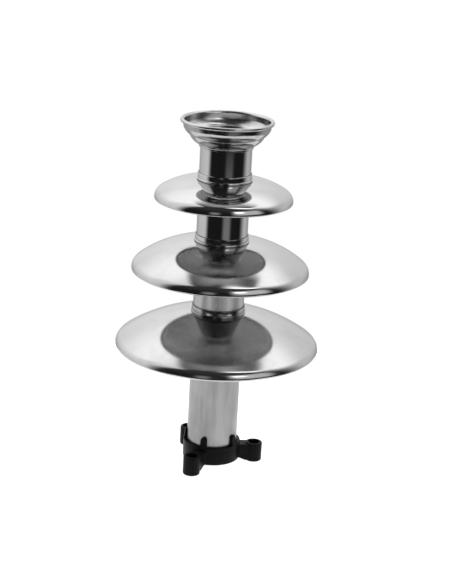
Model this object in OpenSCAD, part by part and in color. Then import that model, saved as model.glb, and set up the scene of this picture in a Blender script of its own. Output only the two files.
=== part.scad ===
// Chocolate fountain tower: three domed tiers and a crown cup on a plug-together tube,
// with the lifting auger inside and a moulded three-socket bracket at the foot.
// Millimetres, +Z up. The origin is on the tower axis, level with the underside of the feet.

/* [Tower tube] */
// Outside diameter of the tube sections
tube_od = 49.4; // [46:0.2:54]
// Wall of the tube sections
tube_wall = 1.2; // [0.8:0.1:1.8]
// Height of the lower collar's mouth above the feet
lower_mouth_z = 163.5; // [150:0.5:190]
// Rise from the lower collar's mouth to the middle collar's mouth
middle_rise = 71; // [62:0.5:90]
// Rise from the middle collar's mouth to the upper collar's mouth
upper_rise = 60; // [50:0.5:80]
// Rise from the upper collar's mouth to the underside of the crown
crown_rise = 28; // [22:0.5:45]

/* [Tiers] */
// Rim diameter of the lower tier
lower_tier_d = 198; // [180:1:220]
// Rim diameter of the middle tier
middle_tier_d = 171.5; // [150:0.5:190]
// Rim diameter of the upper tier
upper_tier_d = 132.5; // [110:0.5:150]
// Radius of the arc of the lower tier's dome
lower_dome_r = 166; // [140:1:220]
// Slope of the lower tier's dome at its hole, in degrees
lower_slope = 8.6; // [4:0.1:10]
// Radius of the arc of the middle tier's dome
middle_dome_r = 102; // [90:1:160]
// Slope of the middle tier's dome at its hole, in degrees
middle_slope = 3.8; // [1:0.1:8]
// Radius of the arc of the upper tier's dome
upper_dome_r = 69; // [62:1:120]
// Slope of the upper tier's dome at its hole, in degrees
upper_slope = 0.9; // [0.5:0.1:6]
// Outside radius of the rolled rim of a tier
rim_roll_r = 9.5; // [5:0.5:14]
// Radius of the hem bead along the edge of a tier
hem_r = 1; // [0.9:0.1:1.5]
// Sheet thickness of the tiers and the crown
sheet_t = 1.2; // [0.8:0.1:1.5]

/* [Collars] */
// Wall of a collar around the plug
collar_wall = 1; // [0.8:0.1:1.5]
// Height of a collar that shows above its tier
collar_show = 7; // [6:0.5:10]
// Height of the bead at the foot of a collar
bead_h = 2.2; // [1.5:0.1:3]
// How far the bead stands out from its collar
bead_proud = 0.8; // [0.5:0.1:1.5]
// Depth that a tube plugs into a collar
plug_depth = 11; // [9:0.5:16]
// Length of a collar's grip on its own tube
grip_len = 12; // [8:0.5:20]
// Height of the shoulder inside a collar
shoulder_h = 1.5; // [1:0.1:2.5]
// Height of the flat seal on that shoulder
seal_h = 1; // [0.8:0.1:1.5]
// Chamfer inside a collar's mouth
mouth_chamfer = 0.5; // [0.3:0.1:0.7]
// Radial width of a tier's lock ring
lock_w = 5; // [4:0.5:8]
// Height of a tier's lock ring at its inner edge
lock_h = 5; // [4:0.5:7]
// Width of a spanner notch in a lock ring
notch_w = 4; // [3:0.5:6]
// Depth of a spanner notch in a lock ring
notch_depth = 1.6; // [1:0.1:2.5]
// Number of spanner notches in a lock ring
notch_count = 4; // [3:1:6]

/* [Crown] */
// Height of the crown, from its underside to the top of its lip
crown_h = 22.8; // [21:0.2:28]
// Radial width of the crown's upper bowl, from its step to the straight wall
crown_bowl_w = 5.6; // [4.5:0.1:8]
// Height above the underside where the straight wall starts
crown_wall_z = 15.4; // [14:0.1:18]
// Diameter of the step between the crown's two bowls
crown_step_d = 71.6; // [66:0.2:80]
// Height of that step above the underside
crown_step_z = 8.2; // [5.5:0.1:9]
// Radial width of the flat seat around the crown's hole
crown_seat_w = 2.4; // [2.4:0.1:4]
// Radius of the crown's rolled lip
lip_r = 1.8; // [1.4:0.05:2.2]
// Height of the crown collar's skirt below the crown
crown_skirt = 3.6; // [3:0.1:8]
// Height of the crown collar's neck inside the crown
crown_neck = 5.6; // [5:0.1:8]
// Height of the crown's lock ring
crown_lock_h = 3.6; // [3:0.1:4]

/* [Auger] */
// Diameter of the auger's hollow shaft
shaft_d = 16; // [14:0.5:20]
// Wall of the auger's shaft
shaft_wall = 1.5; // [1:0.1:2]
// Pitch of the auger's flight
flight_pitch = 36; // [28:1:50]
// Thickness of the auger's flight
flight_t = 1.6; // [1.2:0.1:3]
// Height of the flight's lower end above the feet
flight_z = 8; // [7:0.5:15]
// Depth of the flight's weld into the shaft
flight_root = 0.3; // [0.2:0.1:0.5]
// Bore of the drive bush
drive_bore_d = 8; // [6:0.5:9]
// Depth of the drive bush's bore
drive_depth = 16; // [12:0.5:20]
// Solid length of the drive bush above its bore
bush_head = 8; // [6:0.5:12]
// Width of the cross slot that a drive pin enters
slot_w = 3; // [2:0.5:4]
// Depth of that slot
slot_depth = 5; // [3:0.5:6]
// Diameter of the cross pin that holds the bush
pin_d = 3; // [2:0.5:4]
// Setback of the cross pin's ends below the flight's weld
pin_setback = 0.35; // [0.2:0.05:0.6]
// Length of the top cap's plug
cap_plug = 8; // [5:0.5:15]
// Height of the top cap's dome
cap_rise = 5; // [3:0.5:7]
// Height of the shaft's top above the underside of the crown
shaft_proud = 2; // [0:0.5:4]

/* [Bracket] */
// Diameter of the circle through the three sockets
socket_circle_d = 85; // [80:1:110]
// Bore of a socket
socket_d = 11.5; // [9:0.5:13]
// Outside diameter of a socket boss
boss_d = 16.8; // [16:0.2:20]
// Height of a socket boss
boss_h = 19; // [15:0.5:21]
// Chamfer around the ends of a boss
boss_chamfer = 0.7; // [0.3:0.1:0.9]
// Height of the ring's underside above the feet
ring_z = 4.5; // [3:0.5:6]
// Height of the ring
ring_h = 17.5; // [14:0.5:24]
// Wall of the ring
ring_wall = 3.5; // [2.5:0.1:5]
// Thickness of the ledge that the lower tube stands on
ledge_h = 2; // [1.5:0.1:4]
// Width of an arm
arm_w = 13; // [10:0.5:15]
// Drop of an arm's top below the boss's top
arm_drop = 1.2; // [1:0.1:3]
// Height of an arm's underside above the feet, at its boss
arm_foot = 1.2; // [1:0.1:2.5]
// Height of an arm's root above the ring's underside
arm_root = 0.5; // [0.3:0.1:1]
// Radius of the fillet between an arm and the ring
arm_fillet_r = 4; // [2:0.5:5]
// Number of grip fingers above the ring
finger_count = 5; // [3:1:6]
// Angle of the first grip finger from the +X socket
finger_angle = -111.5; // [-120:0.5:-100]
// Width of a grip finger
finger_w = 6.4; // [5:0.2:8]
// Height of a grip finger above the ring
finger_h = 10.5; // [7:0.5:14]
// Thickness of a grip finger at its tip
finger_tip_t = 2; // [1.5:0.1:2.5]
// Setback of a grip finger from the outside of the ring
finger_inset = 0.3; // [0.2:0.1:0.5]

/* [Clearances] */
// Gap between pieces that are fixed together
fix_gap = 0.05; // [0.02:0.01:0.1]
// Radial gap between a plug and its collar
plug_gap = 0.15; // [0.1:0.05:0.3]
// Radial gap between the auger and the tube's bore
auger_gap = 0.5; // [0.3:0.1:1]

/* [Hidden] */
$fn = 96;
dome_facets = 360;

// Colours
mirror_steel = [0.80, 0.81, 0.82];
satin_steel = [0.66, 0.66, 0.65];
black_plastic = [0.09, 0.09, 0.10];
seal_black = [0.14, 0.14, 0.14];

// How far a cutting shape runs past what it cuts
over = 1;

// Radii shared by the pieces that fit each other
tube_r = tube_od / 2;
bore_r = tube_r - tube_wall;
fixed_r = tube_r + fix_gap;
plug_r = tube_r + plug_gap;
collar_r = plug_r + collar_wall;
bead_r = collar_r + bead_proud;
hole_r = collar_r + fix_gap;
lock_r = hole_r + lock_w;
auger_r = bore_r - auger_gap;
shaft_r = shaft_d / 2;
shaft_bore_r = shaft_r - shaft_wall;
bush_r = shaft_bore_r - fix_gap;
ring_r = fixed_r + ring_wall;
root_r = fixed_r + ring_wall / 4;
boss_r = boss_d / 2;
socket_x = socket_circle_d / 2;
crown_flat_r = hole_r + crown_seat_w;
crown_step_r = crown_step_d / 2;
crown_wall_r = crown_step_r + crown_bowl_w;

// Heights up the tower
middle_mouth_z = lower_mouth_z + middle_rise;
upper_mouth_z = middle_mouth_z + upper_rise;
crown_z = upper_mouth_z + crown_rise;
tube_seat_z = ring_z + ledge_h;
crown_tube_top = crown_z + crown_neck - shoulder_h;
ring_top = ring_z + ring_h;
arm_top = boss_h - arm_drop;
arm_root_z = ring_z + arm_root;
shaft_top = crown_z + shaft_proud;
bush_top = drive_depth + bush_head;
pin_z = drive_depth + bush_head / 2;
pin_len = shaft_d - 2 * (flight_root + pin_setback);

// Steps of the auger's flight in one turn
flight_steps = 24;
// Degrees that a rim's roll runs back into its dome, so that the two are one sheet
roll_overlap = 4;

// Top of the tube end inside a collar, where the shoulder begins
function grip_top(mouth_z) = mouth_z - plug_depth - seal_h - shoulder_h;
// Lower end of a tube that plugs into a collar
function plug_end(mouth_z) = mouth_z - plug_depth + fix_gap;
// Top of a tier where it meets its collar
function seat_z(mouth_z) = mouth_z - collar_show;
// Centre of a tier's dome arc, as its distance from the axis and its height
function dome_centre(mouth_z, dome_r, slope) =
    [hole_r - dome_r * sin(slope), seat_z(mouth_z) - dome_r * cos(slope)];
// Point on a circle
function on_circle(r, angle) = r * [cos(angle), sin(angle)];

// Ring sector of a sheet t thick, between two angles less than half a turn apart
module arc_band(r, t, from, to) {
    intersection() {
        difference() {
            circle(r, $fn = dome_facets);
            circle(r - t, $fn = dome_facets);
        }
        polygon([
            [0, 0],
            on_circle(2 * r, from),
            on_circle(2 * r, (from + to) / 2),
            on_circle(2 * r, to)
        ]);
    }
}

// Sheet t thick along the arc from a to b, which bulges outwards and down
module bowl_sheet(a, b, t) {
    slackness = 1.5;
    chord = norm(b - a);
    r = slackness * chord;
    inward = [a.y - b.y, b.x - a.x] / chord;
    c = (a + b) / 2 + inward * sqrt(r * r - chord * chord / 4);
    translate(c)
        arc_band(r, t, atan2(a.y - c.y, a.x - c.x), atan2(b.y - c.y, b.x - c.x));
}

// Plain pipe between two heights
module pipe(outer_r, inner_r, from_z, to_z) {
    translate([0, 0, from_z])
        difference() {
            cylinder(r = outer_r, h = to_z - from_z);
            translate([0, 0, -over])
                cylinder(r = inner_r, h = to_z - from_z + 2 * over);
        }
}

module tube_section(from_z, to_z) {
    pipe(tube_r, bore_r, from_z, to_z);
}

// Domed tier: arched sheet, rolled rim and hem bead, with a hole for its collar
module tier_dome(mouth_z, rim_d, dome_r, slope) {
    centre = dome_centre(mouth_z, dome_r, slope);
    roll_x = rim_d / 2 - rim_roll_r;
    reach = roll_x - centre.x;
    roll_rise = sqrt(pow(dome_r - rim_roll_r, 2) - reach * reach);
    roll_z = centre.y + roll_rise;
    tangent = atan2(roll_rise, reach);
    rotate_extrude() {
        difference() {
            translate(centre)
                arc_band(dome_r, sheet_t, tangent, 90);
            translate([hole_r - dome_r, centre.y])
                square([dome_r, dome_r + over]);
        }
        translate([roll_x, roll_z])
            arc_band(rim_roll_r, sheet_t, 0, tangent + roll_overlap);
        translate([rim_d / 2 - hem_r, roll_z])
            circle(hem_r);
    }
}

// Coupling collar: grips the tube below, holds the tier, and takes the plug above
module tier_collar(mouth_z, dome_r, slope) {
    grip_z = grip_top(mouth_z);
    foot_z = grip_z - grip_len;
    bead_top = seat_z(mouth_z) + bead_h;
    rotate_extrude()
        difference() {
            union() {
                translate([0, foot_z])
                    square([collar_r, mouth_z - foot_z]);
                difference() {
                    translate([0, seat_z(mouth_z) - bead_h])
                        square([bead_r, 2 * bead_h]);
                    translate(dome_centre(mouth_z, dome_r, slope))
                        circle(dome_r + fix_gap, $fn = dome_facets);
                }
            }
            translate([0, foot_z - over])
                square([bore_r, mouth_z - foot_z + 2 * over]);
            translate([0, foot_z - over])
                square([fixed_r, grip_z - foot_z + over]);
            translate([0, grip_z + shoulder_h])
                square([plug_r, mouth_z - grip_z]);
            polygon([
                [plug_r - over, mouth_z - mouth_chamfer - over],
                [plug_r + mouth_chamfer + over, mouth_z + over],
                [plug_r - over, mouth_z + over]
            ]);
        }
}

// Lock ring under a tier, with its top face following the tier's underside
module tier_lock_ring(mouth_z, dome_r, slope) {
    top_z = seat_z(mouth_z);
    foot_z = top_z - sheet_t - lock_h;
    difference() {
        rotate_extrude()
            intersection() {
                translate([hole_r, foot_z])
                    square([lock_w, lock_h + sheet_t]);
                translate(dome_centre(mouth_z, dome_r, slope))
                    circle(dome_r - sheet_t - fix_gap, $fn = dome_facets);
            }
        for (i = [0 : notch_count - 1])
            rotate(i * 360 / notch_count)
                translate([lock_r - notch_depth, -notch_w / 2, foot_z - over])
                    cube([notch_depth + over, notch_w, lock_h + sheet_t + 2 * over]);
    }
}

// Flat seal on the shoulder inside a collar
module collar_seal(mouth_z) {
    top_z = mouth_z - plug_depth;
    pipe(plug_r - fix_gap, bore_r, top_z - seal_h, top_z);
}

// Socket boss with chamfered ends
module socket_boss() {
    rotate_extrude()
        polygon([
            [0, 0],
            [boss_r - boss_chamfer, 0],
            [boss_r, boss_chamfer],
            [boss_r, boss_h - boss_chamfer],
            [boss_r - boss_chamfer, boss_h],
            [0, boss_h]
        ]);
}

// Arm from the ring to a boss, with its underside sloping down to the foot
module bracket_arm() {
    rotate([90, 0, 0])
        linear_extrude(arm_w, center = true)
            polygon([
                [root_r, arm_root_z],
                [socket_x - boss_r, arm_foot],
                [socket_x, arm_foot],
                [socket_x, arm_top],
                [root_r, arm_top]
            ]);
}

// Fillet between the ring and one side of an arm
module arm_fillet() {
    centre_y = arm_w / 2 + arm_fillet_r;
    centre_x = sqrt(pow(ring_r + arm_fillet_r, 2) - centre_y * centre_y);
    // The cutting circle is a little large, so that it crosses the faces instead of touching them
    cut_r = arm_fillet_r * 1.01;
    translate([0, 0, arm_root_z])
        linear_extrude(arm_top - arm_root_z)
            difference() {
                polygon([
                    [root_r, 0],
                    [centre_x, 0],
                    [centre_x, centre_y],
                    on_circle(root_r, atan2(centre_y, centre_x))
                ]);
                translate([centre_x, centre_y])
                    circle(cut_r);
            }
}

// Upright finger that grips the lower tube, tapering to a round tip
module grip_finger() {
    straight = finger_h - finger_w / 2;
    base_r = ring_r - finger_inset;
    intersection() {
        rotate_extrude()
            polygon([
                [bore_r, ring_top - over],
                [base_r, ring_top - over],
                [base_r, ring_top],
                [fixed_r + finger_tip_t, ring_top + finger_h],
                [bore_r, ring_top + finger_h]
            ]);
        rotate([90, 0, 90])
            linear_extrude(ring_r + over) {
                translate([-finger_w / 2, ring_top - 2 * over])
                    square([finger_w, straight + 2 * over]);
                translate([0, ring_top + straight])
                    circle(finger_w / 2);
            }
    }
}

module base_bracket() {
    color(black_plastic)
        difference() {
            union() {
                translate([0, 0, ring_z])
                    cylinder(r = ring_r, h = ring_h);
                for (i = [0 : 2])
                    rotate(i * 120) {
                        bracket_arm();
                        arm_fillet();
                        mirror([0, 1, 0])
                            arm_fillet();
                        translate([socket_x, 0, 0])
                            socket_boss();
                    }
                for (i = [0 : finger_count - 1])
                    rotate(finger_angle + i * 360 / finger_count)
                        grip_finger();
            }
            translate([0, 0, tube_seat_z])
                cylinder(r = fixed_r, h = ring_h + finger_h);
            translate([0, 0, -over])
                cylinder(r = bore_r, h = tube_seat_z + 2 * over);
            for (i = [0 : 2])
                rotate(i * 120)
                    translate([socket_x, 0, -over])
                        cylinder(d = socket_d, h = boss_h + 2 * over);
        }
}

module lower_tube() {
    color(satin_steel)
        tube_section(tube_seat_z + fix_gap, grip_top(lower_mouth_z) - fix_gap);
}

module lower_tier() {
    color(satin_steel)
        tier_dome(lower_mouth_z, lower_tier_d, lower_dome_r, lower_slope);
}

module lower_collar() {
    color(satin_steel)
        tier_collar(lower_mouth_z, lower_dome_r, lower_slope);
}

module lower_lock_ring() {
    color(satin_steel)
        tier_lock_ring(lower_mouth_z, lower_dome_r, lower_slope);
}

module lower_seal() {
    color(seal_black)
        collar_seal(lower_mouth_z);
}

module middle_tube() {
    color(satin_steel)
        tube_section(plug_end(lower_mouth_z), grip_top(middle_mouth_z) - fix_gap);
}

module middle_tier() {
    color(mirror_steel)
        tier_dome(middle_mouth_z, middle_tier_d, middle_dome_r, middle_slope);
}

module middle_collar() {
    color(mirror_steel)
        tier_collar(middle_mouth_z, middle_dome_r, middle_slope);
}

module middle_lock_ring() {
    color(satin_steel)
        tier_lock_ring(middle_mouth_z, middle_dome_r, middle_slope);
}

module middle_seal() {
    color(seal_black)
        collar_seal(middle_mouth_z);
}

module upper_tube() {
    color(mirror_steel)
        tube_section(plug_end(middle_mouth_z), grip_top(upper_mouth_z) - fix_gap);
}

module upper_tier() {
    color(mirror_steel)
        tier_dome(upper_mouth_z, upper_tier_d, upper_dome_r, upper_slope);
}

module upper_collar() {
    color(mirror_steel)
        tier_collar(upper_mouth_z, upper_dome_r, upper_slope);
}

module upper_lock_ring() {
    color(satin_steel)
        tier_lock_ring(upper_mouth_z, upper_dome_r, upper_slope);
}

module upper_seal() {
    color(seal_black)
        collar_seal(upper_mouth_z);
}

module crown_tube() {
    color(mirror_steel)
        tube_section(plug_end(upper_mouth_z), crown_tube_top - fix_gap);
}

// Cup of two bowls with a straight wall and a rolled lip
module crown_cup() {
    flat = [crown_flat_r, 0];
    step = [crown_step_r, crown_step_z];
    wall = [crown_wall_r, crown_wall_z];
    lip = [crown_wall_r - sheet_t / 2 + lip_r, crown_h - lip_r];
    step_in = [-sheet_t, sheet_t] / 2 * cos(45);
    color(mirror_steel)
        translate([0, 0, crown_z])
            rotate_extrude() {
                translate([hole_r, 0])
                    square([flat.x - hole_r, sheet_t]);
                bowl_sheet(flat, step, sheet_t);
                translate(step + step_in)
                    circle(sheet_t * 0.7);
                bowl_sheet(step, wall, sheet_t);
                translate([wall.x - sheet_t, wall.y])
                    square([sheet_t, lip.y - wall.y]);
                translate(lip)
                    circle(lip_r);
            }
}

// Collar on top of the crown tube: its bead carries the crown, its neck takes the lock ring
module crown_collar() {
    foot_z = crown_z - crown_skirt;
    top_z = crown_z + crown_neck;
    color(mirror_steel)
        rotate_extrude()
            difference() {
                union() {
                    translate([0, foot_z])
                        square([collar_r, top_z - foot_z]);
                    translate([0, crown_z - fix_gap - bead_h])
                        square([bead_r, bead_h]);
                }
                translate([0, foot_z - over])
                    square([bore_r, top_z - foot_z + 2 * over]);
                translate([0, foot_z - over])
                    square([fixed_r, crown_tube_top - foot_z + over]);
            }
}

module crown_lock_ring() {
    foot_z = crown_z + sheet_t + fix_gap;
    color(satin_steel)
        pipe(crown_flat_r - sheet_t, hole_r, foot_z, foot_z + crown_lock_h);
}

// Slot across the foot of the auger, and the hole for its cross pin
module drive_cuts() {
    translate([-shaft_d / 2 - over, -slot_w / 2, -over])
        cube([shaft_d + 2 * over, slot_w, slot_depth + over]);
    translate([0, 0, pin_z])
        rotate([90, 0, 0])
            cylinder(d = pin_d + 2 * fix_gap, h = shaft_d + 2 * over, center = true);
}

module auger_shaft() {
    color(satin_steel)
        difference() {
            pipe(shaft_r, shaft_bore_r, 0, shaft_top);
            drive_cuts();
        }
}

// Helical flight, swept as one closed strip from its lower end to its upper end
module auger_flight() {
    rise = crown_z - flight_t - flight_z;
    steps = ceil(rise / flight_pitch * flight_steps);
    section = [
        [shaft_r - flight_root, 0],
        [auger_r, 0],
        [auger_r, flight_t],
        [shaft_r - flight_root, flight_t]
    ];
    points = [
        for (i = [0 : steps])
            let (z = flight_z + rise * i / steps, turn = 360 * rise / flight_pitch * i / steps)
                for (p = section)
                    [p.x * cos(turn), p.x * sin(turn), z + p.y]
    ];
    side_faces = [
        for (i = [0 : steps - 1])
            for (j = [0 : 3])
                let (a = 4 * i + j, b = 4 * i + (j + 1) % 4)
                    each [[a, a + 4, b], [b, a + 4, b + 4]]
    ];
    end = 4 * steps;
    end_faces = [[0, 1, 2], [0, 2, 3], [end, end + 2, end + 1], [end, end + 3, end + 2]];
    color(satin_steel)
        polyhedron(points, concat(side_faces, end_faces));
}

module auger_drive_bush() {
    color(satin_steel)
        difference() {
            cylinder(r = bush_r, h = bush_top);
            translate([0, 0, -over])
                cylinder(d = drive_bore_d, h = drive_depth + over);
            drive_cuts();
        }
}

module auger_cross_pin() {
    color(mirror_steel)
        translate([0, 0, pin_z])
            rotate([90, 0, 0])
                cylinder(d = pin_d, h = pin_len, center = true);
}

// Plug and domed head that close the top of the auger's shaft
module auger_top_cap() {
    dome_r = (shaft_r * shaft_r + cap_rise * cap_rise) / (2 * cap_rise);
    color(satin_steel)
        translate([0, 0, shaft_top + fix_gap])
            rotate_extrude() {
                translate([0, -cap_plug])
                    square([shaft_bore_r - fix_gap, cap_plug + cap_rise / 2]);
                intersection() {
                    translate([0, cap_rise - dome_r])
                        circle(dome_r);
                    square([shaft_r, cap_rise]);
                }
            }
}

base_bracket();
lower_tube();
lower_tier();
lower_collar();
lower_lock_ring();
lower_seal();
middle_tube();
middle_tier();
middle_collar();
middle_lock_ring();
middle_seal();
upper_tube();
upper_tier();
upper_collar();
upper_lock_ring();
upper_seal();
crown_tube();
crown_cup();
crown_collar();
crown_lock_ring();
auger_shaft();
auger_flight();
auger_drive_bush();
auger_cross_pin();
auger_top_cap();
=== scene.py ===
import math

import bpy
from mathutils import Matrix, Vector


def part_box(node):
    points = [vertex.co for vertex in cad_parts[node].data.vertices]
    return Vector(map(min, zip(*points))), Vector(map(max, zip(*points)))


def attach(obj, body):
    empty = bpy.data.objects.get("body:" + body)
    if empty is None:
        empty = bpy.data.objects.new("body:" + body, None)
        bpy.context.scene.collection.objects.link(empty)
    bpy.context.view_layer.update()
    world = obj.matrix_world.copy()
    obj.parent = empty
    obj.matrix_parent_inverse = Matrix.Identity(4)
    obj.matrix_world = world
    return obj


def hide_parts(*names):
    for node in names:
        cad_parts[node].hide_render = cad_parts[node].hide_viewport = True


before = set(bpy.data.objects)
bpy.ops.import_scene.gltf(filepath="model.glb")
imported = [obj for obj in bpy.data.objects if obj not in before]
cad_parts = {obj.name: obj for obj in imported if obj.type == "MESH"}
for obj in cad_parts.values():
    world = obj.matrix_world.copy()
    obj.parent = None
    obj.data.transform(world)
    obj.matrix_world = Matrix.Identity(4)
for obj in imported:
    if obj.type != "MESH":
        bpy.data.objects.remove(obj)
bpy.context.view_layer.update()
mm = 0.001
smoothUnder = 34     # degrees between faces that shade as one surface
noiseMiddle = 0.5    # the mean of a noise texture
print("frame loaded:", len(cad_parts), "nodes")


# Modelling by operators

def deselectAll():
    if bpy.context.object and bpy.context.object.mode != "OBJECT":
        bpy.ops.object.mode_set(mode="OBJECT")
    bpy.ops.object.select_all(action="DESELECT")


def makeActive(piece):
    deselectAll()
    piece.select_set(True)
    bpy.context.view_layer.objects.active = piece


def applyModifier(piece, kind, **settings):
    makeActive(piece)
    modifier = piece.modifiers.new(kind.title(), kind)
    for setting, value in settings.items():
        setattr(modifier, setting, value)
    bpy.ops.object.modifier_apply(modifier=modifier.name)


def softenEdges(piece, width, segments, sharperThan):
    applyModifier(piece, "BEVEL", width=width * mm, segments=segments, limit_method="ANGLE",
                  angle_limit=math.radians(sharperThan), use_clamp_overlap=False)


def weldPoints(gap=0.0005):  # merges what lies closer together than the gap, in mm
    bpy.ops.mesh.select_all(action="SELECT")
    bpy.ops.mesh.remove_doubles(threshold=gap * mm)


def closeShell():
    weldPoints()
    bpy.ops.mesh.normals_make_consistent(inside=False)
    bpy.ops.object.mode_set(mode="OBJECT")


def startPoint(name, r, z):  # a new piece that is one point beside the axis, open for editing
    deselectAll()
    bpy.ops.mesh.primitive_plane_add(size=mm, location=(r * mm, 0, z * mm))
    piece = bpy.context.object
    piece.name = piece.data.name = name
    bpy.ops.object.transform_apply(location=True, rotation=True, scale=True)
    bpy.ops.object.mode_set(mode="EDIT")
    bpy.ops.mesh.merge(type="CENTER")
    return piece


def drawOutline(section):  # a closed chain of edges through (r, z) points in mm, from the point at the first
    outline = section + section[:1]
    for (r, z), (nextR, nextZ) in zip(outline, outline[1:]):
        bpy.ops.mesh.extrude_vertices_move(
            TRANSFORM_OT_translate={"value": ((nextR - r) * mm, 0, (nextZ - z) * mm)})


def arc(centre, radius, start, end, count):  # (r, z) points in mm, angles in degrees
    angles = [math.radians(start + (end - start) * i / count) for i in range(count + 1)]
    return [(centre[0] + radius * math.cos(a), centre[1] + radius * math.sin(a)) for a in angles]


def ellipse(centre, halfWidth, halfHeight, start, end, count):
    turned = arc((0, 0), 1, start, end, count)
    return [(centre[0] + halfWidth * x, centre[1] + halfHeight * y) for x, y in turned]


def lathe(name, section, steps):
    # The section's outline is drawn beside the axis, then spun round it
    piece = startPoint(name, *section[0])
    drawOutline(section)
    bpy.ops.mesh.select_all(action="SELECT")
    bpy.ops.mesh.spin(steps=steps, angle=math.tau, center=(0, 0, 0), axis=(0, 0, 1))
    closeShell()
    return piece


def finishPiece(piece, finish, body, slot, *nodes):
    makeActive(piece)
    bpy.ops.object.shade_smooth_by_angle(angle=math.radians(smoothUnder))
    piece.data.materials.clear()
    piece.data.materials.append(finish)
    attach(piece, body)
    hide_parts(*nodes)
    return piece


def spanOf(node):  # lowest and highest z of a node, and its largest radius, in mm
    low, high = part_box(node)
    return low.z / mm, high.z / mm, high.x / mm


# Shader maths: a Wire is a socket that takes part in Python expressions

class Wire:
    def __init__(self, bench, socket):
        self.bench = bench
        self.socket = socket

    def maths(self, operation, *values):
        sockets = dict(enumerate(values))
        return self.bench.node("ShaderNodeMath", {"operation": operation}, sockets)["Value"]

    def __add__(self, other):
        return self.maths("ADD", self, other)

    def __radd__(self, other):
        return self.maths("ADD", other, self)

    def __sub__(self, other):
        return self.maths("SUBTRACT", self, other)

    def __rsub__(self, other):
        return self.maths("SUBTRACT", other, self)

    def __mul__(self, other):
        return self.maths("MULTIPLY", self, other)

    def __truediv__(self, other):
        return self.maths("DIVIDE", self, other)

    def __pow__(self, other):
        return self.maths("POWER", self, other)

    def atLeast(self, other):
        return self.maths("MAXIMUM", self, other)

    def fade(self, low, high, lowValue=0.0, highValue=1.0):  # smooth step between two values
        settings = {"interpolation_type": "SMOOTHSTEP"}
        sockets = {"Value": self, "From Min": low, "From Max": high, "To Min": lowValue, "To Max": highValue}
        return self.bench.node("ShaderNodeMapRange", settings, sockets)["Result"]


class Outputs:
    def __init__(self, bench, node):
        self.bench = bench
        self.made = node

    def __getitem__(self, name):
        return Wire(self.bench, self.made.outputs[name])


class Bench:
    def __init__(self, tree):
        self.tree = tree
        tree.nodes.clear()

    def node(self, kind, settings=None, sockets=None):
        made = self.tree.nodes.new(kind)
        for setting, value in (settings or {}).items():
            setattr(made, setting, value)
        for name, value in (sockets or {}).items():
            if isinstance(value, Wire):
                self.tree.links.new(value.socket, made.inputs[name])
            else:
                made.inputs[name].default_value = value
        return Outputs(self, made)

    def noise(self, vector, pitch, detail, roughness):  # the pitch in mm
        sockets = {"Vector": vector, "Scale": 1 / (pitch * mm), "Detail": detail, "Roughness": roughness}
        return self.node("ShaderNodeTexNoise", {}, sockets)["Fac"]

    def stretched(self, vector, scale):
        sockets = {"Vector": vector, "Scale": scale}
        return self.node("ShaderNodeMapping", {"vector_type": "POINT"}, sockets)["Vector"]

    def dot(self, vector, axis):
        return self.node("ShaderNodeVectorMath", {"operation": "DOT_PRODUCT"}, {0: vector, 1: axis})["Value"]

    def blendColours(self, mask, first, second):
        sockets = {0: mask, 6: (*first, 1), 7: (*second, 1)}  # the factor and the two colours, by their place
        return self.node("ShaderNodeMix", {"data_type": "RGBA"}, sockets)[2]

    def bump(self, height, depth):
        sockets = {"Height": height, "Strength": 1.0, "Distance": depth * mm}
        return self.node("ShaderNodeBump", {}, sockets)["Normal"]

    def coat(self, sockets):  # the surface of a finish
        surface = self.node("ShaderNodeBsdfPrincipled", {}, sockets)
        self.node("ShaderNodeOutputMaterial", {}, {"Surface": surface["BSDF"]})


def newMaterial(name):
    finish = bpy.data.materials.new(name)
    finish.use_nodes = True
    return finish, Bench(finish.node_tree)


def spunSteel(name, look):
    # Sheet steel polished on the lathe: circular lines, long soft waves and faint handling marks
    finish, bench = newMaterial(name)
    place = bench.node("ShaderNodeTexCoord")["Object"]
    parts = bench.node("ShaderNodeSeparateXYZ", {}, {"Vector": place})
    radius = (parts["X"] * parts["X"] + parts["Y"] * parts["Y"]) ** 0.5
    ringed = bench.node("ShaderNodeCombineXYZ", {}, {"X": radius, "Y": parts["Z"]})["Vector"]
    lines = bench.noise(ringed, look["linePitch"], detail=4.0, roughness=0.6)
    waves = bench.noise(place, look["wavePitch"], detail=1.0, roughness=0.4)
    marks = bench.noise(place, look["markPitch"], detail=5.0, roughness=0.6).fade(*look["markSpan"])
    specks = bench.noise(place, look["speckPitch"], detail=2.0, roughness=0.5).fade(*look["speckSpan"])
    wear = marks * look["markShare"] + specks * look["speckShare"]
    tint = bench.blendColours(wear, look["clean"], look["handled"])
    roughness = look["roughness"] + marks * look["markRoughness"] + lines * look["lineRoughness"]
    height = lines * look["lineDepth"] + waves * look["waveDepth"]
    normal = bench.bump(height, 1.0)
    bench.coat({"Base Color": tint, "Metallic": 1.0, "Roughness": roughness, "Normal": normal,
                "Specular Tint": look["edgeTint"]})
    return finish


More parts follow.
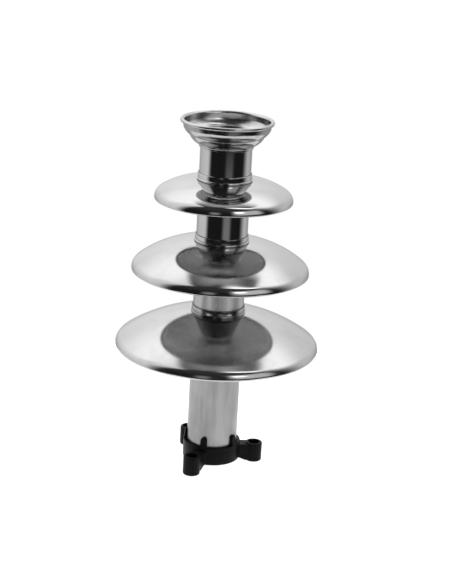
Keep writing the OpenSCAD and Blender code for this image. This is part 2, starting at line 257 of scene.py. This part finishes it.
def drawnSteel(name, look):
    # Tube steel: streaks along the length, blotches where it was handled, and a fine grain
    finish, bench = newMaterial(name)
    place = bench.node("ShaderNodeTexCoord")["Object"]
    lengthwise = bench.stretched(place, (1, 1, 1 / look["streakLength"]))
    streaks = bench.noise(lengthwise, look["streakPitch"], detail=4.0, roughness=0.6)
    grain = bench.noise(lengthwise, look["grainPitch"], detail=2.0, roughness=0.5)
    drawnOut = bench.stretched(place, (1, 1, look["blotchSquash"]))
    blotches = bench.noise(drawnOut, look["blotchPitch"], detail=3.0, roughness=0.5)
    mask = (streaks * look["streakShare"] + blotches * look["blotchShare"]).fade(*look["blendSpan"])
    tint = bench.blendColours(mask, look["dark"], look["light"])
    roughness = look["roughness"] + (streaks - noiseMiddle) * look["streakRoughness"]
    roughness = roughness + grain * look["grainRoughness"]
    normal = bench.bump(streaks * look["streakDepth"] + grain * look["grainDepth"], 1.0)
    bench.coat({"Base Color": tint, "Metallic": 1.0, "Roughness": roughness, "Normal": normal,
                "Specular Tint": look["edgeTint"]})
    return finish


def mouldedBlack(name, look):
    # Moulded plastic or rubber: fine spark grain, cloudy sheen and paler scuffs
    finish, bench = newMaterial(name)
    place = bench.node("ShaderNodeTexCoord")["Object"]
    grain = bench.noise(place, look["grainPitch"], detail=3.0, roughness=0.6)
    clouds = bench.noise(place, look["cloudPitch"], detail=3.0, roughness=0.5)
    upright = bench.stretched(place, (1, 1, look["scuffSquash"]))
    scuffs = bench.noise(upright, look["scuffPitch"], detail=5.0, roughness=0.7).fade(*look["scuffSpan"])
    wear = scuffs * look["scuffShare"] + clouds * look["cloudShare"]
    tint = bench.blendColours(wear, look["dark"], look["scuffed"])
    roughness = look["roughness"] + (clouds - noiseMiddle) * look["cloudRoughness"]
    roughness = roughness + scuffs * look["scuffRoughness"]
    normal = bench.bump(grain, look["grainDepth"])
    bench.coat({"Base Color": tint, "Roughness": roughness, "Normal": normal, "IOR": look["ior"]})
    return finish


# Camera at the photograph's angle
cameraLook = {
    "imageHeight": 584, "focalPixels": 1497.8,   # in pixels; the height is the longer side
    "distance": 1450.85,   # mm from the camera to the point it looks at
    "elevation": 17.875, "roll": 2.994, "azimuth": -4.45,
    "aimX": 6.74, "aimZ": 175.69,
    "sensor": 36.0,
}


def placeCamera(look):
    up = Vector((0, 0, 1))
    elevation = math.radians(look["elevation"])
    roll = math.radians(look["roll"])
    back = look["distance"] * math.cos(elevation)
    rise = look["distance"] * math.sin(elevation)
    place = Vector((0, -back, look["aimZ"] + rise))
    forward = (Vector((look["aimX"], 0, look["aimZ"])) - place).normalized()
    level = forward.cross(up).normalized()
    raised = level.cross(forward)
    right = math.cos(roll) * level + math.sin(roll) * raised
    above = -math.sin(roll) * level + math.cos(roll) * raised
    turn = Matrix.Rotation(math.radians(look["azimuth"]), 3, "Z")
    axes = Matrix([turn @ right, turn @ above, turn @ -forward]).transposed().to_4x4()
    lens = bpy.data.cameras.new("photoCamera")
    lens.sensor_fit = "AUTO"
    lens.sensor_width = look["sensor"]
    lens.lens = look["focalPixels"] * look["sensor"] / look["imageHeight"]
    camera = bpy.data.objects.new("photoCamera", lens)
    bpy.context.collection.objects.link(camera)
    camera.matrix_world = Matrix.Translation(turn @ place * mm) @ axes
    bpy.context.scene.camera = camera
    return turn


cameraTurn = placeCamera(cameraLook)
print("camera placed")


# Studio: a pale floor, white panels at the sides and back, and a dark wall behind the camera.
# Turns are degrees round from the camera, + to its right, and rises are degrees above the horizon.
# Facings run from -1, straight back, to 1, straight at the camera.
# Things overhead are placed by how far they lie to the right and to the front, for each unit of height.
studioLook = {
    "wallLow": 0.015, "wallHigh": 0.045, "wallRise": (12, 62), "wallTurn": (-75, 98),
    "leftLean": 0.1, "leftEdge": 12, "rightLean": -0.19, "rightEdge": 19, "rightSpread": 0.16,
    # Each panel's levels, low and high, at the back and at the side, and the rises between which they change
    "panelLeft": {"back": (1.0, 1.60), "side": (1.0, 1.12), "backRise": (0, 52), "sideRise": (0, 52),
                  "facing": (-0.35, 0.0)},
    "panelRight": {"back": (0.82, 1.35), "side": (0.82, 1.62), "backRise": (0, 52), "sideRise": (25, 52),
                   "facing": (-0.9, -0.5)},
    "panelBlend": 0.3, "horizon": 1.2, "horizonFacing": (-0.97, -0.82),
    "groundSide": 0.9, "groundBack": 0.66, "groundFacing": (-0.9, -0.5), "groundRise": (-8, 4),
    "leastHeight": 0.02,
    "stripLeft": 0.36, "stripRight": 0.46, "stripEdge": 0.05, "stripBack": (-0.55, -0.2),
    "stripMiddle": 0.46, "stripSide": 0.13, "stripOut": (0.076, 0.342),
    "stripFront": 0.10, "stripAhead": (-0.12, 0.12),
    "softbox": 2.6, "softboxRight": (0.12, 0.60), "softboxFront": (0.02, 0.20), "softboxEdge": (0.14, 0.06),
    "softboxHeight": (0.1, 0.2),
    "window": 0.75, "windowTurn": (19, 66), "windowRise": (1, 42), "windowEdge": (8, 7),
    "card": 0.28, "cardTurn": (-20, -6), "cardRise": (-2, 24), "cardEdge": (5, 6),
    "lamp": 2.0, "lampTurn": (20, 36), "lampRise": (22, 34), "lampEdge": (4, 4),
    "glow": 0.25, "glowTurn": (3, 34), "glowEdge": 9, "glowRise": (-15.2, -11.6),
    "floorTint": (0.84, 0.84, 0.84), "floorFront": -0.45, "floorBack": 0.34, "floorHalfWidth": 0.45,
    "floorPitch": 500, "floorClouds": 1.01,
    "fill": 3.6, "fillAngle": 0.5, "fillHeight": 3,
}


def between(wire, low, high, edge):  # 1 inside the span, 0 outside, with soft edges
    return wire.fade(low - edge, low + edge) * wire.fade(high - edge, high + edge, 1.0, 0.0)


def buildWorld(look, turn):
    world = bpy.data.worlds.new("studio")
    bpy.context.scene.world = world
    world.use_nodes = True
    bench = Bench(world.node_tree)
    direction = bench.node("ShaderNodeTexCoord")["Generated"]
    front = bench.dot(direction, turn @ Vector((0, -1, 0)))
    side = bench.dot(direction, turn @ Vector((1, 0, 0)))
    height = bench.dot(direction, (0, 0, 1))
    degrees = 180 / math.pi
    azimuth = side.maths("ARCTAN2", side, front) * degrees
    elevation = height.maths("ARCSINE", height) * degrees
    above = height.atLeast(look["leastHeight"])
    across = side / above
    ahead = front / above

    # The dark wall, with soft edges that lean inwards as they rise
    raised = elevation.atLeast(0.0)
    leftTurn, rightTurn = look["wallTurn"]
    left = raised * look["leftLean"] + leftTurn
    right = raised * look["rightLean"] + rightTurn
    rightEdge = raised * look["rightSpread"] + look["rightEdge"]
    inWall = azimuth.fade(left - look["leftEdge"], left + look["leftEdge"])
    inWall = inWall * azimuth.fade(right - rightEdge, right + rightEdge, 1.0, 0.0)
    wall = elevation.fade(*look["wallRise"], look["wallLow"], look["wallHigh"])
    glow = between(azimuth, *look["glowTurn"], look["glowEdge"])
    wall = wall + glow * elevation.fade(*look["glowRise"], look["glow"], 0.0)
    for name in ("window", "card", "lamp"):
        turnEdge, riseEdge = look[name + "Edge"]
        spot = between(azimuth, *look[name + "Turn"], turnEdge)
        spot = spot * between(elevation, *look[name + "Rise"], riseEdge)
        wall = wall + spot * look[name]

    # The panels, and the ground beyond the floor
    panels = []
    for plan in (look["panelLeft"], look["panelRight"]):
        back = elevation.fade(*plan["backRise"], *plan["back"])
        beside = elevation.fade(*plan["sideRise"], *plan["side"])
        toSide = front.fade(*plan["facing"])
        panels.append(back * (1 - toSide) + beside * toSide)
    onRight = side.fade(-look["panelBlend"], look["panelBlend"])
    panel = panels[0] * (1 - onRight) + panels[1] * onRight
    panel = panel * front.fade(*look["horizonFacing"], look["horizon"], 1.0)
    ground = front.fade(*look["groundFacing"], look["groundBack"], look["groundSide"])
    panel = panel * elevation.fade(*look["groundRise"], ground, 1.0)

    # The dark strip of ceiling between the panels, and the softbox that hangs in it
    inStrip = between(across, -look["stripLeft"], look["stripRight"], look["stripEdge"])
    inStrip = inStrip * ahead.fade(*look["stripBack"])
    offMiddle = across.maths("ABSOLUTE", across)
    strip = offMiddle.fade(*look["stripOut"], look["stripMiddle"], look["stripSide"])
    dimmed = look["stripFront"] / look["stripMiddle"]
    strip = strip * ahead.fade(*look["stripAhead"], 1.0, dimmed)
    sideEdge, frontEdge = look["softboxEdge"]
    inSoftbox = between(across, *look["softboxRight"], sideEdge)
    inSoftbox = inSoftbox * between(ahead, *look["softboxFront"], frontEdge)
    inSoftbox = inSoftbox * height.fade(*look["softboxHeight"])

    level = panel * (1 - inStrip) + strip * inStrip
    level = level * (1 - inWall) + wall * inWall
    level = level * (1 - inSoftbox) + inSoftbox * look["softbox"]
    room = bench.node("ShaderNodeBackground", {}, {"Strength": level, "Color": (1, 1, 1, 1)})
    backdrop = bench.node("ShaderNodeBackground", {}, {"Strength": 1.0, "Color": (1, 1, 1, 1)})
    seen = bench.node("ShaderNodeLightPath")["Is Camera Ray"]
    mixed = bench.node("ShaderNodeMixShader", {}, {0: seen, 1: room["Background"], 2: backdrop["Background"]})
    bench.node("ShaderNodeOutputWorld", {}, {"Surface": mixed["Shader"]})


def buildFloor(look):
    deselectAll()
    depth = look["floorBack"] - look["floorFront"]
    middle = (look["floorBack"] + look["floorFront"]) / 2
    bpy.ops.mesh.primitive_plane_add(size=1, location=(0, middle, 0))
    floor = bpy.context.object
    floor.name = "floor"
    floor.scale = (2 * look["floorHalfWidth"], depth, 1)
    bpy.ops.object.transform_apply(location=True, rotation=True, scale=True)
    finish, bench = newMaterial("paleFloor")
    place = bench.node("ShaderNodeTexCoord")["Object"]
    clouds = bench.noise(place, look["floorPitch"], detail=2.0, roughness=0.5)
    paler = [value * look["floorClouds"] for value in look["floorTint"]]
    tint = bench.blendColours(clouds, look["floorTint"], paler)
    surface = bench.node("ShaderNodeBsdfDiffuse", {}, {"Color": tint})
    bench.node("ShaderNodeOutputMaterial", {}, {"Surface": surface["BSDF"]})
    floor.data.materials.append(finish)


def addFill(look):  # even light from above for the floor and the bracket, which throws no shadow
    data = bpy.data.lights.new("floorFill", "SUN")
    data.energy = look["fill"]
    data.angle = look["fillAngle"]
    data.use_shadow = False
    fill = bpy.data.objects.new("floorFill", data)
    bpy.context.collection.objects.link(fill)
    fill.location = (0, 0, look["fillHeight"])
    fill.visible_glossy = False


buildWorld(studioLook, cameraTurn)
buildFloor(studioLook)
addFill(studioLook)
bpy.context.scene.view_settings.view_transform = "Standard"
print("studio lit")


# Finishes
mirrorLook = {
    "clean": (0.56, 0.56, 0.565), "handled": (0.49, 0.49, 0.49), "edgeTint": (0.8, 0.8, 0.8, 1),
    "roughness": 0.06,
    "linePitch": 1.4, "lineDepth": 0.0004, "lineRoughness": 0.03,
    "wavePitch": 38, "waveDepth": 0.008,
    "markPitch": 34, "markSpan": (0.45, 0.72), "markShare": 0.7, "markRoughness": 0.04,
    "speckPitch": 1.6, "speckSpan": (0.62, 0.74), "speckShare": 0.3,
}
mirrorSteel = spunSteel("mirrorSteel", mirrorLook)
softMirrorSteel = spunSteel("softMirrorSteel", {**mirrorLook, "roughness": 0.09, "markRoughness": 0.05})
satinSteel = spunSteel("satinSteel", {**mirrorLook, "roughness": 0.105, "lineRoughness": 0.04})
# Darker dull steel: the lock rings' own finish, and on the tier undersides painted shade as well as an
# unpolished underside
dullSteelAndPaintedShade = spunSteel("dullSteelAndPaintedShade", {
    **mirrorLook, "clean": (0.42, 0.42, 0.42), "handled": (0.36, 0.36, 0.36), "roughness": 0.24,
    "lineDepth": 0.002})
collarSteel = spunSteel("collarSteel", {
    **mirrorLook, "clean": (0.46, 0.46, 0.46), "handled": (0.34, 0.34, 0.34), "roughness": 0.12,
    "linePitch": 0.8, "lineDepth": 0.001, "markPitch": 12})
crownSteel = spunSteel("crownSteel", {
    **mirrorLook, "clean": (0.55, 0.55, 0.55), "handled": (0.46, 0.46, 0.46), "roughness": 0.19,
    "markPitch": 14, "markRoughness": 0.06, "lineDepth": 0.0008, "linePitch": 1.2})
stainedSteel = spunSteel("stainedSteel", {
    **mirrorLook, "clean": (0.36, 0.36, 0.36), "handled": (0.27, 0.27, 0.27), "roughness": 0.14,
    "markPitch": 7, "markRoughness": 0.05, "speckPitch": 1.2, "lineDepth": 0.0004, "linePitch": 1.4})
augerSteel = spunSteel("augerSteel", {
    **mirrorLook, "clean": (0.50, 0.50, 0.50), "handled": (0.42, 0.42, 0.41), "roughness": 0.24,
    "lineDepth": 0.002, "linePitch": 0.9})
tubeLook = {
    "dark": (0.215, 0.215, 0.215), "light": (0.30, 0.30, 0.30), "edgeTint": (0.8, 0.8, 0.8, 1),
    "roughness": 0.30,
    "streakPitch": 9.0, "streakLength": 10, "streakDepth": 0.0015, "streakRoughness": 0.12,
    "grainPitch": 0.7, "grainDepth": 0.0006, "grainRoughness": 0.05,
    "blotchPitch": 26, "blotchSquash": 0.6, "blotchShare": 0.4, "streakShare": 0.6, "blendSpan": (0.38, 0.62),
}
dullTubeSteel = drawnSteel("dullTubeSteel", tubeLook)
softTubeSteel = drawnSteel("softTubeSteel", {
    **tubeLook, "dark": (0.38, 0.38, 0.38), "light": (0.46, 0.46, 0.46), "roughness": 0.26,
    "streakRoughness": 0.06, "streakDepth": 0.001})
brightTubeSteel = drawnSteel("brightTubeSteel", {
    **tubeLook, "dark": (0.50, 0.50, 0.50), "light": (0.56, 0.56, 0.565), "roughness": 0.05,
    "streakDepth": 0.0005, "streakRoughness": 0.04, "grainDepth": 0.0002, "grainRoughness": 0.02})
mouldedLook = {
    "scuffSquash": 0.35, "scuffSpan": (0.6, 0.8), "scuffShare": 0.6, "scuffRoughness": 0.06,
    "cloudShare": 0.4,
}
blackPlastic = mouldedBlack("blackPlastic", {
    **mouldedLook,
    "dark": (0.002, 0.002, 0.0023), "scuffed": (0.007, 0.007, 0.007), "roughness": 0.42, "ior": 1.17,
    "grainPitch": 0.5, "grainDepth": 0.02, "cloudPitch": 14, "cloudRoughness": 0.16, "scuffPitch": 5})
sealRubber = mouldedBlack("sealRubber", {
    **mouldedLook,
    "dark": (0.012, 0.012, 0.012), "scuffed": (0.03, 0.03, 0.029), "roughness": 0.66, "ior": 1.45,
    "grainPitch": 0.3, "grainDepth": 0.012, "cloudPitch": 9, "cloudRoughness": 0.1, "scuffPitch": 4})
print("finishes mixed")


# Sizes that the steel pieces share, in mm
stock = {
    "sheet": 1.2, "hem": 1.0, "rimRoll": 9.5, "fit": 0.05, "plugFit": 0.15,
    "wall": 1.2, "collarWall": 1.0, "bead": 2.2, "beadProud": 0.8,
    "collarShow": 7.0, "plugDepth": 11.0, "sealHeight": 1.0, "shoulder": 1.5,
}
tubeRadius = spanOf("lower_tube")[2]
boreRadius = tubeRadius - stock["wall"]
gripRadius = tubeRadius + stock["fit"]
plugRadius = tubeRadius + stock["plugFit"]
collarRadius = plugRadius + stock["collarWall"]
beadRadius = collarRadius + stock["beadProud"]
holeRadius = collarRadius + stock["fit"]


# Tubes: rolled ends, eased inside and out
tubeEnd = {"ease": 0.3, "easeSteps": 3, "rows": 24, "turnSteps": 160}


def tube(node, look):
    low, high, outer = spanOf(node)
    ease, count = look["ease"], look["easeSteps"]
    rows = [low + ease + (high - low - 2 * ease) * i / look["rows"] for i in range(1, look["rows"])]
    section = arc((outer - ease, low + ease), ease, -90, 0, count)
    section += [(outer, z) for z in rows]
    section += arc((outer - ease, high - ease), ease, 0, 90, count)
    section += arc((boreRadius + ease, high - ease), ease, 90, 180, count)
    section += [(boreRadius, z) for z in reversed(rows)]
    section += arc((boreRadius + ease, low + ease), ease, 180, 270, count)
    return lathe(node + "_drawn", section, look["turnSteps"])


tubePlan = {
    "lower_tube": ("base", dullTubeSteel, "satin_steel"),
    "middle_tube": ("middle_stage", softTubeSteel, "satin_steel"),
    "upper_tube": ("upper_stage", brightTubeSteel, "polished_steel"),
    "crown_tube": ("crown_stage", brightTubeSteel, "polished_steel"),
}
for tubeName, (tubeBody, tubeFinish, tubeSlot) in tubePlan.items():
    finishPiece(tube(tubeName, tubeEnd), tubeFinish, tubeBody, tubeSlot, tubeName)
print("tubes drawn")


# Tiers: spun domes with a rolled rim and a hemmed edge
tierPlan = {
    "lower_tier": {
        "domeRadius": 166, "slope": 8.6,
        "body": "base", "finish": satinSteel, "slot": "satin_steel"},
    "middle_tier": {
        "domeRadius": 102, "slope": 3.8,
        "body": "middle_stage", "finish": softMirrorSteel, "slot": "polished_steel"},
    "upper_tier": {
        "domeRadius": 69, "slope": 0.9,
        "body": "upper_stage", "finish": mirrorSteel, "slot": "polished_steel"},
}
tierSteps = {"dome": 40, "roll": 16, "hem": 14, "rollInside": 12, "turn": 256}
paintedShadeBelow = -0.02    # faces that look further down than this get the darker dull finish: an unpolished underside, darkened further as painted shade under the tier


def tier(node, plan, steps):
    _, seat, rim = spanOf(node)
    sheet, roll, hem = stock["sheet"], stock["rimRoll"], stock["hem"]
    dome, slope = plan["domeRadius"], math.radians(plan["slope"])
    domeCentre = (holeRadius - dome * math.sin(slope), seat - dome * math.cos(slope))
    reach = rim - roll - domeCentre[0]
    rollRise = math.sqrt((dome - roll) ** 2 - reach ** 2)
    rollCentre = (rim - roll, domeCentre[1] + rollRise)
    tangent = math.degrees(math.atan2(rollRise, reach))
    innerHole = math.degrees(math.acos((holeRadius - domeCentre[0]) / (dome - sheet)))
    hemCentre = (rim - hem, rollCentre[1])
    hemMeets = -360 + math.degrees(math.acos((hem - sheet) / hem))
    innerMeets = math.degrees(math.asin(hem * math.sin(math.radians(hemMeets)) / (roll - sheet)))
    section = arc(domeCentre, dome, 90 - plan["slope"], tangent, steps["dome"])
    section += arc(rollCentre, roll, tangent, 0, steps["roll"])[1:]
    section += arc(hemCentre, hem, 0, hemMeets, steps["hem"])[1:]
    section += arc(rollCentre, roll - sheet, innerMeets, tangent, steps["rollInside"])[1:]
    section += arc(domeCentre, dome - sheet, tangent, innerHole, steps["dome"])[1:]
    return lathe(node + "_spun", section, steps["turn"])


def coatFaces(piece, finish, chosen):  # a second finish on the faces that the test picks
    piece.data.materials.append(finish)
    for face in piece.data.polygons:
        radius = math.hypot(face.center.x, face.center.y)
        outward = (face.normal.x * face.center.x + face.normal.y * face.center.y) / radius
        if chosen(face, outward):
            face.material_index = 1


for tierName, plan in tierPlan.items():
    spun = tier(tierName, plan, tierSteps)
    finishPiece(spun, plan["finish"], plan["body"], plan["slot"], tierName)
    # Downward faces take the darker dull steel, which paints the shade under each tier
    coatFaces(spun, dullSteelAndPaintedShade, lambda face, outward: face.normal.z < paintedShadeBelow)
print("tiers spun")


# Collars: an upper band with an eased mouth, a round bead at its foot and a shoulder inside
collarPlan = {
    "lower_collar": {"body": "base", "finish": collarSteel, "slot": "satin_steel"},
    "middle_collar": {"body": "middle_stage", "finish": softMirrorSteel, "slot": "polished_steel"},
    "upper_collar": {"body": "upper_stage", "finish": mirrorSteel, "slot": "polished_steel"},
}
collarEnd = {"ease": 0.35, "easeSteps": 4, "mouthChamfer": 0.5, "beadGap": 0.05, "beadSteps": 14,
             "turnSteps": 192}


def collar(node, look):
    foot, mouth, _ = spanOf(node)
    seat = mouth - stock["collarShow"]
    ease, chamfer = look["ease"], look["mouthChamfer"]
    shelf = mouth - stock["plugDepth"] - stock["sealHeight"]
    gripTop = shelf - stock["shoulder"]
    beadCentre = (collarRadius, seat + stock["fit"] + stock["bead"] / 2)
    section = [(gripRadius, foot), (collarRadius - ease, foot), (collarRadius, foot + ease)]
    beadHalf = stock["bead"] / 2 - look["beadGap"]
    section += ellipse(beadCentre, stock["beadProud"], beadHalf, -90, 90, look["beadSteps"])
    section += arc((collarRadius - ease, mouth - ease), ease, 0, 90, look["easeSteps"])
    section += [(plugRadius + chamfer, mouth), (plugRadius, mouth - chamfer), (plugRadius, shelf),
                (boreRadius, shelf), (boreRadius, gripTop), (gripRadius, gripTop)]
    return lathe(node + "_turned", section, look["turnSteps"])


for collarName, plan in collarPlan.items():
    finishPiece(collar(collarName, collarEnd), plan["finish"], plan["body"], plan["slot"], collarName)
print("collars turned")


# Crown: two spun bowls, a straight wall and a rolled lip, on its own collar
crownLook = {
    "seat": 2.4, "stepRadius": 35.8, "stepRise": 8.2, "bowlWidth": 5.6, "wallRise": 15.4,
    "height": 22.8, "lip": 1.8, "slackness": 1.5, "bowlSteps": 14, "lipSteps": 18, "lipInsideSteps": 10,
    "ease": 0.3, "easeSteps": 4, "beadGap": 0.02, "beadSteps": 12, "turnSteps": 192,
}
crownBase = spanOf("crown_cup")[0]


def bowlArcs(start, end, sheet, look):  # the outside and inside of a bowl that bulges outwards and down
    (startR, startZ), (endR, endZ) = start, end
    chord = math.hypot(endR - startR, endZ - startZ)
    radius = look["slackness"] * chord
    reach = math.sqrt(radius ** 2 - chord ** 2 / 4)
    centreR = (startR + endR) / 2 + (startZ - endZ) / chord * reach
    centreZ = (startZ + endZ) / 2 + (endR - startR) / chord * reach
    startAngle = math.degrees(math.atan2(startZ - centreZ, startR - centreR))
    endAngle = math.degrees(math.atan2(endZ - centreZ, endR - centreR))
    outside = arc((centreR, centreZ), radius, startAngle, endAngle, look["bowlSteps"])
    inside = arc((centreR, centreZ), radius - sheet, endAngle, startAngle, look["bowlSteps"])
    return outside, inside


def crownCup(look):
    sheet, lip = stock["sheet"], look["lip"]
    flat = (holeRadius + look["seat"], crownBase)
    step = (look["stepRadius"], crownBase + look["stepRise"])
    wall = (step[0] + look["bowlWidth"], crownBase + look["wallRise"])
    top = crownBase + look["height"]
    innerWall = wall[0] - sheet
    lipCentre = (wall[0] - sheet / 2 + lip, top - lip)
    tucked = -180 + math.degrees(math.acos((lipCentre[0] - wall[0]) / lip))
    inwardReach = lipCentre[0] - innerWall
    lowerOut, lowerIn = bowlArcs(flat, step, sheet, look)
    upperOut, upperIn = bowlArcs(step, wall, sheet, look)
    section = [(holeRadius, crownBase)] + lowerOut + upperOut[1:]
    section += arc(lipCentre, lip, tucked, 90, look["lipSteps"])
    section += arc((lipCentre[0], top - inwardReach), inwardReach, 90, 180, look["lipInsideSteps"])[1:]
    section += upperIn + lowerIn + [(holeRadius, crownBase + sheet)]
    return lathe("crown_cup_spun", section, look["turnSteps"])


def crownCollar(look):
    foot, top, _ = spanOf("crown_collar")
    ease = look["ease"]
    shelf = top - stock["shoulder"]
    beadCentre = (collarRadius, crownBase - stock["fit"] - stock["bead"] / 2)
    section = [(gripRadius, foot), (collarRadius - ease, foot), (collarRadius, foot + ease)]
    beadHalf = stock["bead"] / 2 - look["beadGap"]
    section += ellipse(beadCentre, stock["beadProud"], beadHalf, -90, 90, look["beadSteps"])
    section += arc((collarRadius - ease, top - ease), ease, 0, 90, look["easeSteps"])
    section += [(boreRadius, top), (boreRadius, shelf), (gripRadius, shelf)]
    return lathe("crown_collar_turned", section, look["turnSteps"])


cup = finishPiece(crownCup(crownLook), crownSteel, "crown_stage", "polished_steel", "crown_cup")
lipMiddle = (crownBase + crownLook["height"] - crownLook["lip"]) * mm
coatFaces(cup, stainedSteel, lambda face, outward: outward > 0 and face.center.z < lipMiddle)
finishPiece(crownCollar(crownLook), collarSteel, "crown_stage", "polished_steel", "crown_collar")
print("crown spun")


# Auger: a helical flight wound with the Screw modifier, and a domed cap on its shaft
augerLook = {"shaftRadius": 8.0, "rootDepth": 0.3, "pitch": 36.0, "thickness": 1.6, "stepsPerTurn": 60,
             "capRise": 5.0, "capPlug": 8.0, "shaftWall": 1.5, "capSteps": 16, "capTurnSteps": 96}


def augerFlight(look):
    low, high, outer = spanOf("auger_flight")
    inner = look["shaftRadius"] - look["rootDepth"]
    rise = high - low - look["thickness"]
    turns = rise / look["pitch"]
    steps = round(look["stepsPerTurn"] * turns)
    upper = low + look["thickness"]
    section = [(inner, low), (outer, low), (outer, upper), (inner, upper)]
    piece = startPoint("auger_flight_wound", *section[0])
    drawOutline(section)
    weldPoints()
    bpy.ops.object.mode_set(mode="OBJECT")
    applyModifier(piece, "SCREW", axis="Z", angle=math.tau * turns, screw_offset=rise * mm, iterations=1,
                  steps=steps, render_steps=steps, use_merge_vertices=False)
    bpy.ops.object.mode_set(mode="EDIT")
    bpy.ops.mesh.select_all(action="DESELECT")
    bpy.ops.mesh.select_non_manifold()
    bpy.ops.mesh.fill()  # the two ends
    closeShell()
    return piece


def augerCap(look):
    _, high, outer = spanOf("auger_top_cap")
    rise = look["capRise"]
    shaftTop = high - rise
    domeRadius = (outer ** 2 + rise ** 2) / (2 * rise)
    plug = look["shaftRadius"] - look["shaftWall"] - stock["fit"]
    rimAngle = math.degrees(math.asin((domeRadius - rise) / domeRadius))
    section = arc((0, high - domeRadius), domeRadius, 90, rimAngle, look["capSteps"])
    section += [(plug, shaftTop), (plug, shaftTop - look["capPlug"]), (0, shaftTop - look["capPlug"])]
    return lathe("auger_top_cap_turned", section, look["capTurnSteps"])


finishPiece(augerFlight(augerLook), augerSteel, "auger", "satin_steel", "auger_flight")
finishPiece(augerCap(augerLook), augerSteel, "auger", "satin_steel", "auger_top_cap")
print("auger wound")


# Bracket: the moulding, with every hard edge eased
bracketLook = {"ease": 0.45, "easeSteps": 3, "easeOver": 28, "weld": 0.002, "flatWithin": 1.0}


def bracket(look):
    deselectAll()
    piece = bpy.data.objects.new("base_bracket_moulded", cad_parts["base_bracket"].data.copy())
    bpy.context.collection.objects.link(piece)
    makeActive(piece)
    bpy.ops.mesh.customdata_custom_splitnormals_clear()
    bpy.ops.object.mode_set(mode="EDIT")
    weldPoints(look["weld"])
    bpy.ops.mesh.dissolve_limited(angle_limit=math.radians(look["flatWithin"]))
    bpy.ops.object.mode_set(mode="OBJECT")
    softenEdges(piece, look["ease"], look["easeSteps"], look["easeOver"])
    return piece


finishPiece(bracket(bracketLook), blackPlastic, "base", "black_plastic", "base_bracket")
print("bracket moulded")


# Pieces whose solid is kept as it is, with a finish of their own
keptFinishes = {
    "lower_lock_ring": dullSteelAndPaintedShade, "middle_lock_ring": dullSteelAndPaintedShade, "upper_lock_ring": dullSteelAndPaintedShade,
    "crown_lock_ring": softMirrorSteel,
    "lower_seal": sealRubber, "middle_seal": sealRubber, "upper_seal": sealRubber,
    "auger_shaft": augerSteel, "auger_drive_bush": augerSteel, "auger_cross_pin": mirrorSteel,
}
for nodeName, nodeFinish in keptFinishes.items():
    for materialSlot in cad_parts[nodeName].material_slots:
        materialSlot.material = nodeFinish
print("kept pieces finished")

bpy.context.view_layer.update()
